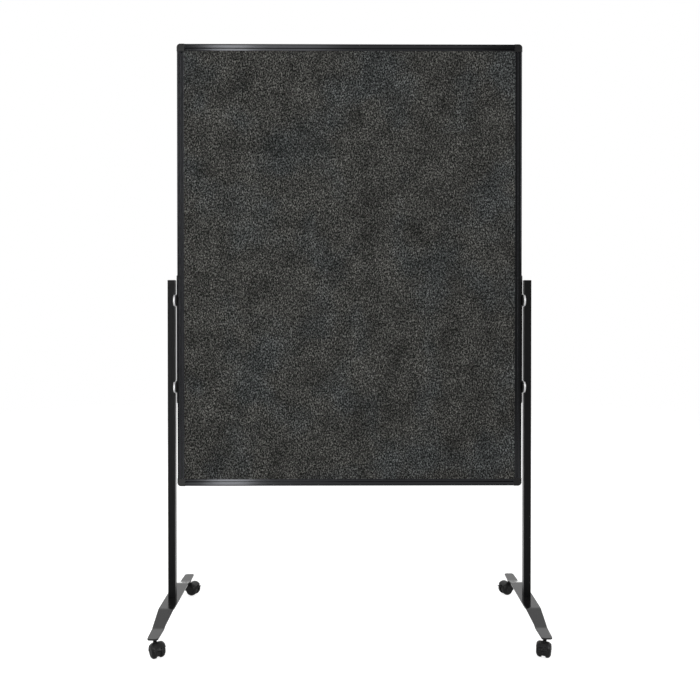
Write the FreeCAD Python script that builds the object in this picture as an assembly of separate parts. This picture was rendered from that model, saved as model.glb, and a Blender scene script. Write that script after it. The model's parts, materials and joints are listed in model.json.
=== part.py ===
import FreeCAD, Part
import math
import os

# Mobile pinboard: a felt-covered panel in an extruded frame, held at mid height
# between two square posts. Each post stands on a bent steel foot, and each foot
# on two braked twin-wheel castors.
# Frame of the part: +Z up, X across the board, -Y towards the front,
# origin on the floor midway between the posts. Millimetres.

# Board
board_width = 1185.0
board_height = 1518.0
board_bottom = 469.5

# Frame rail section
rail_depth = 22.0
rail_face = 24.0
rail_wall = 1.6
rail_edge_radius = 5.0
slot_depth = 4.5
partition_wall = 6.0
groove_width = 3.4
groove_depth = 6.0
lip_root = 1.4
groove_shoulder_radius = 1.2
lip_thickness = 2.0
lip_set_back = 0.4
lip_nose_radius = 0.8

# Corner connectors
corner_leg = 26.0
corner_radius = 13.0
corner_proud = 0.8
corner_face_proud = 0.4
corner_arm_length = 38.0
corner_arm_clearance = 0.15

# Panel
felt_thickness = 2.5
felt_pinch = 0.5
felt_field_gap = 0.6
felt_field_corner_radius = 6.0
panel_side_clearance = 0.1
panel_edge_clearance = 1.0

# Side plates and what fastens them
plate_thickness = 2.5
plate_width = 12.0
plate_end_radius = 5.0
plate_above_pad = 86.0
plate_below_pad = 56.0
nut_bar_thickness = 4.0
nut_bar_width = 12.0
nut_bar_clearance = 0.1
plate_screw_radius = 2.0
plate_screw_head_radius = 3.8
plate_screw_end_distance = 20.0

# Stand-off between post and board
pad_upper_height = 1108.5
pad_lower_height = 810.5
washer_radius = 20.5
washer_thickness = 2.8
washer_edge_radius = 0.8
disc_radius = 22.5
disc_thickness = 6.5
disc_rim_radius = 2.4
post_seat_depth = 4.3
post_seat_clearance = 0.1
board_bolt_radius = 3.0
board_bolt_head_radius = 5.5
board_bolt_head_height = 1.8
board_bolt_head_edge = 0.9
board_bolt_tail = 1.0

# Posts
post_side = 25.0
post_wall = 1.5
post_corner_radius = 2.0
post_above_pad = 70.0
post_cap_thickness = 2.4
post_cap_edge_radius = 1.0
post_cap_plug_depth = 14.0
post_cap_plug_wall = 2.0
plug_clearance = 0.1
base_plug_height = 30.0

# Feet
foot_thickness = 5.0
foot_rise = 27.0
foot_flat_half = 115.0
foot_slope_run = 90.0
foot_reach = 280.0
foot_bend_radius = 26.0
foot_middle_outward = 20.5
foot_middle_inward = 31.0
foot_middle_half = 100.0
foot_neck_outward = 18.8
foot_neck_inward = 20.5
foot_neck_half = 185.0
foot_waist_radius = 60.0
foot_tip_width = 33.6
foot_tip_corner_radius = 9.0
foot_edge_chamfer = 0.6
foot_boss_radius = 7.2
foot_boss_height = 5.0
foot_boss_thread_roof = 2.5
foot_bolt_radius = 4.0
foot_bolt_head_radius = 7.5
foot_bolt_length = 25.0

# Castors: one shape, drawn with its stem on the Z axis and its wheels trailing
# towards +X, then turned to the way each castor happens to stand.
castor_height = 57.5
castor_tip_distance = 32.0
castor_inset = 1.8
castor_trail = 23.0
castor_front_left_angle = -57.0
castor_front_right_angle = -112.0
castor_rear_left_angle = -25.0
castor_rear_right_angle = -152.0
stem_radius = 4.0
stem_collar_radius = 6.2
stem_collar_height = 0.8
stem_foot_gap = 0.5
barrel_radius = 6.0
barrel_floor = 1.5
barrel_bottom = 24.0
swivel_clearance = 0.3
wheel_radius = 22.5
wheel_width = 15.5
wheel_tread = 4.5
wheel_inner_chamfer = 0.8
wheel_dish_depth = 0.6
wheel_dish_margin = 2.5
wheel_rim_wall = 3.5
wheel_face_wall = 3.0
wheel_hub_radius = 6.0
wheel_hub_gap = 0.3
wheel_side_gap = 1.0
axle_radius = 3.0
axle_cap = 3.0
web_width = 11.0
web_radius = 18.5
hood_clearance = 0.8
hood_wall = 1.6
hood_opening_radius = 19.5
hood_trailing_angle = 36.0
hood_leading_angle = 198.0
pedal_pivot_radius = 13.0
pedal_pivot_angle = 16.0
pedal_rest_angle = 9.0
pedal_pin_radius = 2.0
pedal_eye_radius = 3.6
pedal_arm_width = 6.0
pedal_arm_thickness = 4.0
pedal_side_gap = 0.35
pedal_tab_start = 24.0
pedal_tab_end = 30.0
pedal_tab_width = 32.0
pedal_tab_thickness = 2.4
pedal_tab_corner_radius = 3.0
pedal_travel = 18.0
pedal_pocket_margin = 0.8

# Clearances and cuts
running_clearance = 0.05
bolt_clearance = 0.3
overrun = 1.0
same_place = 0.000001

# Places worked out from the sizes above
half_depth = rail_depth / 2
slot_bottom = rail_face - slot_depth
chamber_end = slot_bottom - partition_wall
groove_end = slot_bottom - lip_root
groove_start = groove_end - groove_width
slot_half = half_depth - lip_thickness
panel_inset = slot_bottom + panel_edge_clearance
panel_width = board_width - 2 * panel_inset
panel_height = board_height - 2 * panel_inset
pinched_felt = felt_thickness - felt_pinch
core_thickness = 2 * (slot_half - panel_side_clearance - pinched_felt)
board_middle = board_bottom + board_height / 2
board_half_width = board_width / 2
plate_top = pad_upper_height + plate_above_pad
plate_bottom = pad_lower_height - plate_below_pad
plate_outer = board_half_width + plate_thickness
washer_outer = plate_outer + washer_thickness
disc_outer = washer_outer + disc_thickness
post_inner_face = disc_outer - post_seat_depth
post_x = post_inner_face + post_side / 2
post_outer_face = post_inner_face + post_side
post_top = pad_upper_height + post_above_pad
bar_inner = board_half_width - rail_wall - nut_bar_clearance - nut_bar_thickness
foot_tip_top = castor_height + foot_thickness
foot_top = foot_tip_top + foot_rise
foot_under = foot_top - foot_thickness
castor_reach = foot_reach - castor_tip_distance
castor_x = post_x - castor_inset
boss_bottom = castor_height - foot_boss_height
post_tube_top = post_top - post_cap_thickness
post_bore = post_side - 2 * post_wall
plug_side = post_bore - 2 * plug_clearance
plug_corner_radius = max(post_corner_radius - post_wall, same_place)
screw_upper_height = plate_top - plate_screw_end_distance
screw_lower_height = plate_bottom + plate_screw_end_distance
barrel_top = boss_bottom - stem_collar_height - swivel_clearance
wheel_inner = web_width / 2 + wheel_side_gap
wheel_outer = wheel_inner + wheel_width
hood_inner_radius = wheel_radius + hood_clearance
hood_radius = hood_inner_radius + hood_wall
hood_inner_half = wheel_outer + hood_clearance
hood_half = hood_inner_half + hood_wall
wheel_dome = wheel_width - wheel_tread
sides = {"left": -1, "right": 1}
pad_heights = {"upper": pad_upper_height, "lower": pad_lower_height}
castors = {
    "front_left": (-1, -1, castor_front_left_angle),
    "front_right": (1, -1, castor_front_right_angle),
    "rear_left": (-1, 1, castor_rear_left_angle),
    "rear_right": (1, 1, castor_rear_right_angle),
}

x_axis = FreeCAD.Vector(1, 0, 0)
y_axis = FreeCAD.Vector(0, 1, 0)
z_axis = FreeCAD.Vector(0, 0, 1)


def rounded_wire(corners):
    """A closed wire through (point, radius) corners, each rounded by its own radius."""
    count = len(corners)
    turns = []
    for index in range(count):
        point, radius = corners[index]
        back = (corners[index - 1][0] - point).normalize()
        ahead = (corners[(index + 1) % count][0] - point).normalize()
        half_angle = back.getAngle(ahead) / 2
        bisector = (back + ahead).normalize() if radius > 0 else back
        reach = radius / math.tan(half_angle) if radius > 0 else 0
        lift = radius / math.sin(half_angle) - radius if radius > 0 else 0
        turns.append((point + back * reach, point + bisector * lift, point + ahead * reach))
    edges = []
    for index in range(count):
        start, middle, end = turns[index]
        if corners[index][1] > 0:
            edges.append(Part.Arc(start, middle, end).toShape())
        following = turns[(index + 1) % count][0]
        if (following - end).Length > same_place:
            edges.append(Part.LineSegment(end, following).toShape())
    return Part.Wire(edges)


def prism(corners, direction):
    """A solid drawn as a rounded outline and run along a direction."""
    return Part.Face(rounded_wire(corners)).extrude(direction)


def box(x_range, y_range, z_range):
    """A block between two values on each axis."""
    size = [high - low for low, high in (x_range, y_range, z_range)]
    corner = FreeCAD.Vector(x_range[0], y_range[0], z_range[0])
    return Part.makeBox(size[0], size[1], size[2], corner)


def rod(radius, start, end):
    """A round bar between two points."""
    run = end - start
    return Part.makeCylinder(radius, run.Length, start, run)


def cone(radius_start, radius_end, start, end):
    """A round taper between two points."""
    run = end - start
    return Part.makeCone(radius_start, radius_end, run.Length, start, run)


def spun(profile, axis_point, axis):
    """A solid of revolution of a closed profile."""
    return Part.Face(rounded_wire(profile)).revolve(axis_point, axis, 360)


def fused(solids):
    """One clean solid from overlapping ones."""
    return solids[0].fuse(solids[1:]).removeSplitter()


def placed(shape, origin, inward, along):
    """Sets a piece drawn with x inward and z along its run at a place of its own."""
    across = along.cross(inward)
    matrix = FreeCAD.Matrix(
        inward.x, across.x, along.x, origin.x,
        inward.y, across.y, along.y, origin.y,
        inward.z, across.z, along.z, origin.z,
        0, 0, 0, 1,
    )
    return shape.transformed(matrix, True)


def on_side(shape, side):
    """A piece drawn on the right side, turned half round for the left one."""
    piece = shape.copy()
    if side < 0:
        piece.rotate(FreeCAD.Vector(0, 0, 0), z_axis, 180)
    return piece


def square_outline(side, radius, height):
    """Corners of a rounded square centred on the Z axis."""
    half = side / 2
    signs = ((-1, -1), (1, -1), (1, 1), (-1, 1))
    return [(FreeCAD.Vector(half * x, half * y, height), radius) for x, y in signs]


def rail_section():
    """Face of the extruded rail: u inward from the outer edge, v across its depth."""
    lip_face = half_depth - lip_set_back
    upper = [
        (0, half_depth, rail_edge_radius),
        (groove_start, half_depth, groove_shoulder_radius),
        (groove_start, half_depth - groove_depth, 0),
        (groove_end, half_depth - groove_depth, 0),
        (groove_end, lip_face, 0),
        (rail_face, lip_face, lip_nose_radius),
        (rail_face, slot_half, 0),
        (slot_bottom, slot_half, 0),
    ]
    lower = [(u, -v, radius) for u, v, radius in reversed(upper)]
    corners = [(FreeCAD.Vector(u, v, 0), radius) for u, v, radius in upper + lower]
    return Part.Face(rounded_wire(corners)).cut(Part.Face(rounded_wire(chamber_outline(0))))


def chamber_outline(clearance):
    """Corners of the rail's hollow, drawn in by a clearance."""
    near = rail_wall + clearance
    far = chamber_end - clearance
    half = half_depth - rail_wall - clearance
    radius = rail_edge_radius - rail_wall
    corners = ((near, -half, radius), (far, -half, 0), (far, half, 0), (near, half, radius))
    return [(FreeCAD.Vector(u, v, 0), r) for u, v, r in corners]


def frame_rail(length):
    """A rail cut to length, its outer edge on the local z axis."""
    return rail_section().extrude(FreeCAD.Vector(0, 0, length))


def frame_rails():
    """The four rails, square-cut against the corner connectors."""
    across = board_width - 2 * corner_leg
    upright = board_height - 2 * corner_leg
    board_top = board_bottom + board_height
    low = FreeCAD.Vector(-across / 2, 0, board_bottom)
    high = FreeCAD.Vector(across / 2, 0, board_top)
    left = FreeCAD.Vector(-board_half_width, 0, board_top - corner_leg)
    right = FreeCAD.Vector(board_half_width, 0, board_bottom + corner_leg)
    holes = side_rail_holes()
    return {
        "frame_rail_bottom": placed(frame_rail(across), low, z_axis, x_axis),
        "frame_rail_top": placed(frame_rail(across), high, -z_axis, -x_axis),
        "frame_rail_left": placed(frame_rail(upright), left, x_axis, -z_axis).cut(holes),
        "frame_rail_right": placed(frame_rail(upright), right, -x_axis, z_axis).cut(holes),
    }


def side_rail_holes():
    """Clearance holes through the outer walls of both side rails."""
    reach = board_half_width + overrun
    inner = board_half_width - rail_wall - overrun
    cuts = []
    for side in sides.values():
        for height in pad_heights.values():
            radius = board_bolt_radius + bolt_clearance
            start = FreeCAD.Vector(side * inner, 0, height)
            cuts.append(rod(radius, start, FreeCAD.Vector(side * reach, 0, height)))
        for height in (screw_upper_height, screw_lower_height):
            radius = plate_screw_radius + bolt_clearance
            start = FreeCAD.Vector(side * inner, 0, height)
            cuts.append(rod(radius, start, FreeCAD.Vector(side * reach, 0, height)))
    return Part.makeCompound(cuts)


def corner_connector():
    """Moulded corner: a capped block with a slot for the panel and two rail arms."""
    half = half_depth + corner_face_proud
    near = -corner_proud
    outline = ((near, near, corner_radius), (corner_leg, near, 0),
               (corner_leg, corner_leg, 0), (near, corner_leg, 0))
    corners = [(FreeCAD.Vector(u, -half, w), radius) for u, w, radius in outline]
    block = prism(corners, FreeCAD.Vector(0, 2 * half, 0))
    rim = [edge for edge in block.Edges if on_outer_rim(edge, half, near)]
    block = block.makeFillet(rail_edge_radius, rim)
    panel_room = box((slot_bottom, corner_leg + overrun), (-slot_half, slot_half),
                     (slot_bottom, corner_leg + overrun))
    block = block.cut(panel_room)
    arm = prism(chamber_outline(corner_arm_clearance),
                FreeCAD.Vector(0, 0, corner_arm_length + overrun))
    start = corner_leg - overrun
    upright_arm = placed(arm, FreeCAD.Vector(0, 0, start), x_axis, z_axis)
    level_arm = placed(arm, FreeCAD.Vector(start, 0, 0), z_axis, x_axis)
    return fused([block, upright_arm, level_arm])


def on_outer_rim(edge, half, near):
    """Whether an edge of the corner block runs along its rounded outer rim."""
    middle = edge.valueAt((edge.FirstParameter + edge.LastParameter) / 2)
    on_face = abs(abs(middle.y) - half) < same_place
    outside = min(middle.x, middle.z) - near
    rounded = corner_radius * (1 - math.sqrt(1 / 2))
    return on_face and outside < rounded + same_place


def corner_caps():
    """The four connectors, each turned to its own corner."""
    board_top = board_bottom + board_height
    connector = corner_connector()
    places = {
        "bottom_left": (-board_half_width, board_bottom, x_axis, z_axis),
        "bottom_right": (board_half_width, board_bottom, z_axis, -x_axis),
        "top_left": (-board_half_width, board_top, -z_axis, x_axis),
        "top_right": (board_half_width, board_top, -x_axis, -z_axis),
    }
    caps = {}
    for name, (x, z, inward, along) in places.items():
        caps["corner_cap_" + name] = placed(connector, FreeCAD.Vector(x, 0, z), inward, along)
    return caps


def panel_layers():
    """The soft core with a felt on each side, held in the rails' slots."""
    x_range = (-panel_width / 2, panel_width / 2)
    z_range = (board_middle - panel_height / 2, board_middle + panel_height / 2)
    core_half = core_thickness / 2
    pinched_face = core_half + pinched_felt
    rim = box(x_range, (core_half, pinched_face), z_range)
    felt = fused([rim, felt_field(pinched_face)])
    return {
        "panel_core": box(x_range, (-core_half, core_half), z_range),
        "felt_front": on_side(felt, -1),
        "felt_rear": felt,
    }


def felt_field(pinched_face):
    """The free part of a felt, which stands proud of the rim that the lips pinch."""
    inset = rail_face + felt_field_gap
    half_width = board_half_width - inset
    half_height = board_height / 2 - inset
    signs = ((-1, -1), (1, -1), (1, 1), (-1, 1))
    corners = []
    for x, z in signs:
        point = FreeCAD.Vector(x * half_width, pinched_face, board_middle + z * half_height)
        corners.append((point, felt_field_corner_radius))
    return prism(corners, FreeCAD.Vector(0, felt_pinch, 0))


def side_plate():
    """Steel strip on the board's side, with holes for bolts and screw heads."""
    half = plate_width / 2
    outline = ((-half, plate_bottom), (half, plate_bottom), (half, plate_top), (-half, plate_top))
    corners = [(FreeCAD.Vector(board_half_width, y, z), plate_end_radius) for y, z in outline]
    strip = prism(corners, FreeCAD.Vector(plate_thickness, 0, 0))
    cuts = []
    for height in pad_heights.values():
        start = FreeCAD.Vector(board_half_width - overrun, 0, height)
        end = FreeCAD.Vector(plate_outer + overrun, 0, height)
        cuts.append(rod(board_bolt_radius + bolt_clearance, start, end))
    for height in (screw_upper_height, screw_lower_height):
        cuts.append(plate_screw(height, bolt_clearance))
    return strip.cut(Part.makeCompound(cuts))


def plate_screw(height, clearance):
    """Countersunk screw from the plate's face into the nut bar."""
    head = plate_screw_head_radius
    drop = head - plate_screw_radius
    face = FreeCAD.Vector(plate_outer, 0, height)
    neck = FreeCAD.Vector(plate_outer - drop, 0, height)
    tail = FreeCAD.Vector(bar_inner - clearance, 0, height)
    taper = cone(head + clearance, plate_screw_radius + clearance, face, neck)
    return fused([taper, rod(plate_screw_radius + clearance, tail, neck)])


def plate_screws():
    """All four screws as one group."""
    group = []
    for side in sides.values():
        for height in (screw_upper_height, screw_lower_height):
            group.append(on_side(plate_screw(height, 0), side))
    return Part.makeCompound(group)


def nut_bar():
    """Tapped bar inside the side rail, behind its outer wall."""
    half = nut_bar_width / 2
    x_range = (bar_inner, bar_inner + nut_bar_thickness)
    bar = box(x_range, (-half, half), (plate_bottom, plate_top))
    taps = [(height, board_bolt_radius) for height in pad_heights.values()]
    taps += [(height, plate_screw_radius) for height in (screw_upper_height, screw_lower_height)]
    cuts = []
    for height, radius in taps:
        start = FreeCAD.Vector(x_range[0] - overrun, 0, height)
        end = FreeCAD.Vector(x_range[1] + overrun, 0, height)
        cuts.append(rod(radius + running_clearance, start, end))
    return bar.cut(Part.makeCompound(cuts))


def ring(outer_radius, bore_radius, start_x, thickness, edge_radius, height):
    """A round stand-off piece with softened rims, its axis across the board."""
    end_x = start_x + thickness
    profile = [
        (FreeCAD.Vector(start_x, 0, height + bore_radius), 0),
        (FreeCAD.Vector(start_x, 0, height + outer_radius), edge_radius),
        (FreeCAD.Vector(end_x, 0, height + outer_radius), edge_radius),
        (FreeCAD.Vector(end_x, 0, height + bore_radius), 0),
    ]
    return spun(profile, FreeCAD.Vector(0, 0, height), x_axis)


def pad_washers():
    """The four dark washers against the side plates, as one group."""
    bore = board_bolt_radius + bolt_clearance
    group = []
    for side in sides.values():
        for height in pad_heights.values():
            washer = ring(washer_radius, bore, plate_outer, washer_thickness,
                          washer_edge_radius, height)
            group.append(on_side(washer, side))
    return Part.makeCompound(group)


def spacer_discs():
    """Turned discs between the washers and the posts, each with a channel that seats a post."""
    bore = board_bolt_radius + bolt_clearance
    seat_half = post_side / 2 + post_seat_clearance
    room = disc_radius + overrun
    discs = {}
    for side_name, side in sides.items():
        for level, height in pad_heights.items():
            disc = ring(disc_radius, bore, washer_outer, disc_thickness, disc_rim_radius, height)
            channel = box((post_inner_face, disc_outer + overrun), (-seat_half, seat_half),
                          (height - room, height + room))
            disc = disc.cut(channel)
            discs["spacer_disc_" + level + "_" + side_name] = on_side(disc, side)
    return discs


def board_bolt(height):
    """Low-headed bolt through post, disc, washer, plate and rail into the nut bar."""
    head_end = post_outer_face + board_bolt_head_height
    tail = FreeCAD.Vector(bar_inner - board_bolt_tail, 0, height)
    seat = FreeCAD.Vector(post_outer_face, 0, height)
    profile = [
        (FreeCAD.Vector(post_outer_face, 0, height), 0),
        (FreeCAD.Vector(post_outer_face, 0, height + board_bolt_head_radius), 0),
        (FreeCAD.Vector(head_end, 0, height + board_bolt_head_radius), board_bolt_head_edge),
        (FreeCAD.Vector(head_end, 0, height), 0),
    ]
    head = spun(profile, seat, x_axis)
    return fused([head, rod(board_bolt_radius, tail, seat)])


def board_bolts():
    """The four bolts that carry the board, as one group."""
    group = []
    for side in sides.values():
        for height in pad_heights.values():
            group.append(on_side(board_bolt(height), side))
    return Part.makeCompound(group)


def post():
    """Square tube with bolt holes through both of its side walls."""
    length = FreeCAD.Vector(0, 0, post_tube_top - foot_top)
    tube = prism(square_outline(post_side, post_corner_radius, foot_top), length)
    bore = prism(square_outline(post_bore, plug_corner_radius, foot_top), length)
    tube = tube.cut(bore)
    tube.translate(FreeCAD.Vector(post_x, 0, 0))
    cuts = []
    for height in pad_heights.values():
        start = FreeCAD.Vector(post_inner_face - overrun, 0, height)
        end = FreeCAD.Vector(post_outer_face + overrun, 0, height)
        cuts.append(rod(board_bolt_radius + bolt_clearance, start, end))
    return tube.cut(Part.makeCompound(cuts))


def post_cap():
    """Moulded cap with a hollow plug that grips the tube."""
    rise = FreeCAD.Vector(0, 0, post_cap_thickness)
    lid = prism(square_outline(post_side, post_corner_radius, post_tube_top), rise)
    top = [edge for edge in lid.Edges if edge.BoundBox.ZMin > post_top - same_place]
    lid = lid.makeFillet(post_cap_edge_radius, top)
    low = post_tube_top - post_cap_plug_depth
    depth = FreeCAD.Vector(0, 0, post_cap_plug_depth)
    hollow_side = plug_side - 2 * post_cap_plug_wall
    plug = prism(square_outline(plug_side, plug_corner_radius, low), depth)
    plug = plug.cut(prism(square_outline(hollow_side, 0, low), depth))
    cap = fused([lid, plug])
    cap.translate(FreeCAD.Vector(post_x, 0, 0))
    return cap


def base_plug():
    """Tapped block in the foot end of the tube."""
    height = FreeCAD.Vector(0, 0, base_plug_height)
    block = prism(square_outline(plug_side, plug_corner_radius, foot_top), height)
    low = FreeCAD.Vector(0, 0, foot_top - overrun)
    high = FreeCAD.Vector(0, 0, foot_top + base_plug_height + overrun)
    block = block.cut(rod(foot_bolt_radius + running_clearance, low, high))
    block.translate(FreeCAD.Vector(post_x, 0, 0))
    return block


def foot():
    """Bent plate: a raised middle, two slopes and two level tips that taper in plan."""
    slope = math.atan2(foot_rise, foot_slope_run)
    shift = foot_thickness * math.tan(slope / 2)
    toe = foot_flat_half + foot_slope_run
    inner = foot_bend_radius
    outer = foot_bend_radius + foot_thickness
    tip_under = foot_tip_top - foot_thickness
    half_path = [(foot_flat_half, foot_top, outer), (toe, foot_tip_top, inner),
                 (foot_reach, foot_tip_top, 0), (foot_reach, tip_under, 0),
                 (toe - shift, tip_under, outer), (foot_flat_half - shift, foot_under, inner)]
    path = half_path + [(-y, z, radius) for y, z, radius in reversed(half_path)]
    corners = [(FreeCAD.Vector(-foot_middle_inward, y, z), radius) for y, z, radius in path]
    strip = prism(corners, FreeCAD.Vector(foot_middle_inward + foot_middle_outward, 0, 0))
    strip = strip.common(foot_plan())
    rim = [edge for edge in strip.Edges if on_foot_rim(strip, edge)]
    strip = strip.makeChamfer(foot_edge_chamfer, rim)
    strip = fused([strip] + [foot_boss(end) for end in (-1, 1)])
    cuts = [foot_thread(end) for end in (-1, 1)]
    cuts.append(foot_bolt(bolt_clearance))
    strip = strip.cut(Part.makeCompound(cuts))
    strip.translate(FreeCAD.Vector(post_x, 0, 0))
    return strip


def foot_plan():
    """The foot seen from above: widest at the middle, more so inward, narrow at rounded tips."""
    tip_outward = foot_tip_width / 2 - castor_inset
    tip_inward = foot_tip_width / 2 + castor_inset
    outward = foot_side(foot_middle_outward, foot_neck_outward, tip_outward)
    inward = foot_side(-foot_middle_inward, -foot_neck_inward, -tip_inward)
    outline = outward + inward[::-1]
    corners = [(FreeCAD.Vector(x, y, 0), radius) for x, y, radius in outline]
    return prism(corners, FreeCAD.Vector(0, 0, foot_top + overrun))


def foot_side(middle, neck, tip):
    """One long side of the foot's plan, from the front tip to the rear one."""
    half = [(middle, foot_middle_half, foot_waist_radius), (neck, foot_neck_half, foot_waist_radius),
            (tip, foot_reach, foot_tip_corner_radius)]
    return [(x, -y, radius) for x, y, radius in reversed(half)] + half


def on_foot_rim(strip, edge):
    """Whether an edge parts an upright side of the bent strip from its top or underside."""
    upright = []
    for face in strip.ancestorsOfType(edge, Part.Face):
        low_u, high_u, low_v, high_v = face.ParameterRange
        normal = face.normalAt((low_u + high_u) / 2, (low_v + high_v) / 2)
        upright.append(abs(normal.z) < same_place)
    return upright[0] != upright[-1]


def foot_boss(end):
    """Round boss under a tip, which takes a castor's stem."""
    low = FreeCAD.Vector(-castor_inset, end * castor_reach, boss_bottom)
    high = FreeCAD.Vector(-castor_inset, end * castor_reach, foot_tip_top - foot_boss_thread_roof)
    return rod(foot_boss_radius, low, high)


def foot_thread(end):
    """Blind tapped hole in a boss, which leaves the top of the tip smooth."""
    low = FreeCAD.Vector(-castor_inset, end * castor_reach, boss_bottom - overrun)
    high = FreeCAD.Vector(-castor_inset, end * castor_reach, foot_tip_top - foot_boss_thread_roof)
    return rod(stem_radius + running_clearance, low, high)


def foot_bolt(clearance):
    """Countersunk bolt from under the foot into the base plug."""
    head = foot_bolt_head_radius
    neck_height = foot_under + head - foot_bolt_radius
    face = FreeCAD.Vector(0, 0, foot_under)
    neck = FreeCAD.Vector(0, 0, neck_height)
    top = FreeCAD.Vector(0, 0, foot_under + foot_bolt_length)
    taper = cone(head + clearance, foot_bolt_radius + clearance, face, neck)
    return fused([taper, rod(foot_bolt_radius + clearance, neck, top)])


def foot_bolts():
    """Both foot bolts as one group."""
    group = []
    for side in sides.values():
        bolt = foot_bolt(0)
        bolt.translate(FreeCAD.Vector(post_x, 0, 0))
        group.append(on_side(bolt, side))
    return Part.makeCompound(group)


def castor_stem():
    """Steel stem with a collar, screwed into the boss and turning in the barrel."""
    low = FreeCAD.Vector(0, 0, barrel_bottom + barrel_floor + stem_foot_gap)
    high = FreeCAD.Vector(0, 0, foot_tip_top - foot_boss_thread_roof - stem_foot_gap)
    collar_low = FreeCAD.Vector(0, 0, boss_bottom - stem_collar_height)
    collar_high = FreeCAD.Vector(0, 0, boss_bottom)
    return fused([rod(stem_radius, low, high), rod(stem_collar_radius, collar_low, collar_high)])


def polar(radius, angle, across):
    """A point about the axle: radius and angle up from the trailing side."""
    turn = math.radians(angle)
    x = castor_trail + radius * math.cos(turn)
    return FreeCAD.Vector(x, across, wheel_radius + radius * math.sin(turn))


def sector(radius, start_angle, end_angle, width):
    """A slice of a cylinder about the axle."""
    half = width / 2
    centre = FreeCAD.Vector(castor_trail, -half, wheel_radius)
    start = polar(radius, start_angle, -half)
    middle = polar(radius, (start_angle + end_angle) / 2, -half)
    end = polar(radius, end_angle, -half)
    edges = [Part.LineSegment(centre, start).toShape(), Part.Arc(start, middle, end).toShape(),
             Part.LineSegment(end, centre).toShape()]
    return Part.Face(Part.Wire(edges)).extrude(FreeCAD.Vector(0, width, 0))


def drum(radius, half_width, corner):
    """A cylinder about the axle with its rims rounded over."""
    centre = FreeCAD.Vector(castor_trail, 0, wheel_radius)
    outline = ((0, -half_width, 0), (radius, -half_width, corner), (radius, half_width, corner),
               (0, half_width, 0))
    corners = [(centre + z_axis * r + y_axis * y, rounding) for r, y, rounding in outline]
    return spun(corners, centre, y_axis)


def castor_housing():
    """Moulded body: hood over both wheels, web between them and swivel barrel."""
    axle_low = FreeCAD.Vector(castor_trail, -hood_half - overrun, wheel_radius)
    axle_high = FreeCAD.Vector(castor_trail, hood_half + overrun, wheel_radius)
    hood = sector(hood_radius + overrun, hood_trailing_angle, hood_leading_angle, 2 * hood_half)
    hood = hood.common(drum(hood_radius, hood_half, wheel_dome + hood_clearance + hood_wall))
    room = drum(hood_inner_radius, hood_inner_half, wheel_dome + hood_clearance)
    room = fused([room, rod(hood_opening_radius, axle_low, axle_high)])
    web_half = web_width / 2
    spine = box((-hood_radius, castor_trail + hood_radius), (-web_half, web_half), (0, castor_height))
    hood = hood.cut(room.cut(spine))
    web = rod(web_radius, FreeCAD.Vector(castor_trail, -web_half, wheel_radius),
              FreeCAD.Vector(castor_trail, web_half, wheel_radius))
    barrel = rod(barrel_radius, FreeCAD.Vector(0, 0, barrel_bottom), FreeCAD.Vector(0, 0, barrel_top))
    body = fused([hood, web, barrel])
    stem_room = rod(stem_radius + running_clearance,
                    FreeCAD.Vector(0, 0, barrel_bottom + barrel_floor),
                    FreeCAD.Vector(0, 0, barrel_top + overrun))
    axle_room = rod(axle_radius + running_clearance, axle_low, axle_high)
    pin_room = rod(pedal_pin_radius + running_clearance,
                   polar(pedal_pivot_radius, pedal_pivot_angle, -web_width),
                   polar(pedal_pivot_radius, pedal_pivot_angle, web_width))
    cuts = Part.makeCompound([stem_room, axle_room, pin_room, pedal_pocket()])
    return body.cut(cuts)


def pedal_pocket():
    """Room between the web's cheeks for the pedal's eye and arm over its travel."""
    width = pedal_arm_width + 2 * pedal_side_gap
    eye_room = pedal_eye_radius + pedal_pocket_margin
    pivot = polar(pedal_pivot_radius, pedal_pivot_angle, -width / 2)
    across = FreeCAD.Vector(0, width, 0)
    well = rod(eye_room, pivot, pivot + across)
    low_angle = pedal_pivot_angle + pedal_rest_angle - pedal_travel
    high_angle = pedal_pivot_angle + pedal_rest_angle
    reach = hood_radius
    half = pedal_arm_thickness / 2 + pedal_pocket_margin
    slots = []
    for angle in (low_angle, high_angle):
        slots.append(arm_bar(pivot, angle, half, reach, across))
    fan = fan_between(pivot, low_angle, high_angle, reach, across)
    return fused([well, fan] + slots)


def arm_bar(pivot, angle, half, reach, across):
    """A straight bar outward from the pivot at an angle."""
    turn = math.radians(angle)
    out = FreeCAD.Vector(math.cos(turn), 0, math.sin(turn))
    up = FreeCAD.Vector(-math.sin(turn), 0, math.cos(turn))
    corners = [pivot + up * half, pivot - up * half,
               pivot - up * half + out * reach, pivot + up * half + out * reach]
    return prism([(corner, 0) for corner in corners], across)


def fan_between(pivot, low_angle, high_angle, reach, across):
    """The wedge that the arm's middle line sweeps."""
    corners = [pivot]
    for angle in (low_angle, high_angle):
        turn = math.radians(angle)
        corners.append(pivot + FreeCAD.Vector(math.cos(turn), 0, math.sin(turn)) * reach)
    return prism([(corner, 0) for corner in corners], across)


def brake_pedal():
    """Pedal: pin and eye in the web, an arm, and a wide tab to step on."""
    half = pedal_arm_width / 2
    width = FreeCAD.Vector(0, pedal_arm_width, 0)
    pivot = polar(pedal_pivot_radius, pedal_pivot_angle, -half)
    eye = rod(pedal_eye_radius, pivot, pivot + width)
    pin_half = web_width / 2 - pedal_side_gap
    pin = rod(pedal_pin_radius, polar(pedal_pivot_radius, pedal_pivot_angle, -pin_half),
              polar(pedal_pivot_radius, pedal_pivot_angle, pin_half))
    angle = pedal_pivot_angle + pedal_rest_angle
    tab_start = pedal_tab_start - pedal_pivot_radius
    tab_end = pedal_tab_end - pedal_pivot_radius
    arm = arm_bar(pivot, angle, pedal_arm_thickness / 2, tab_start + overrun, width)
    tab = pedal_tab(angle, tab_start, tab_end)
    return fused([eye, pin, arm, tab])


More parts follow.
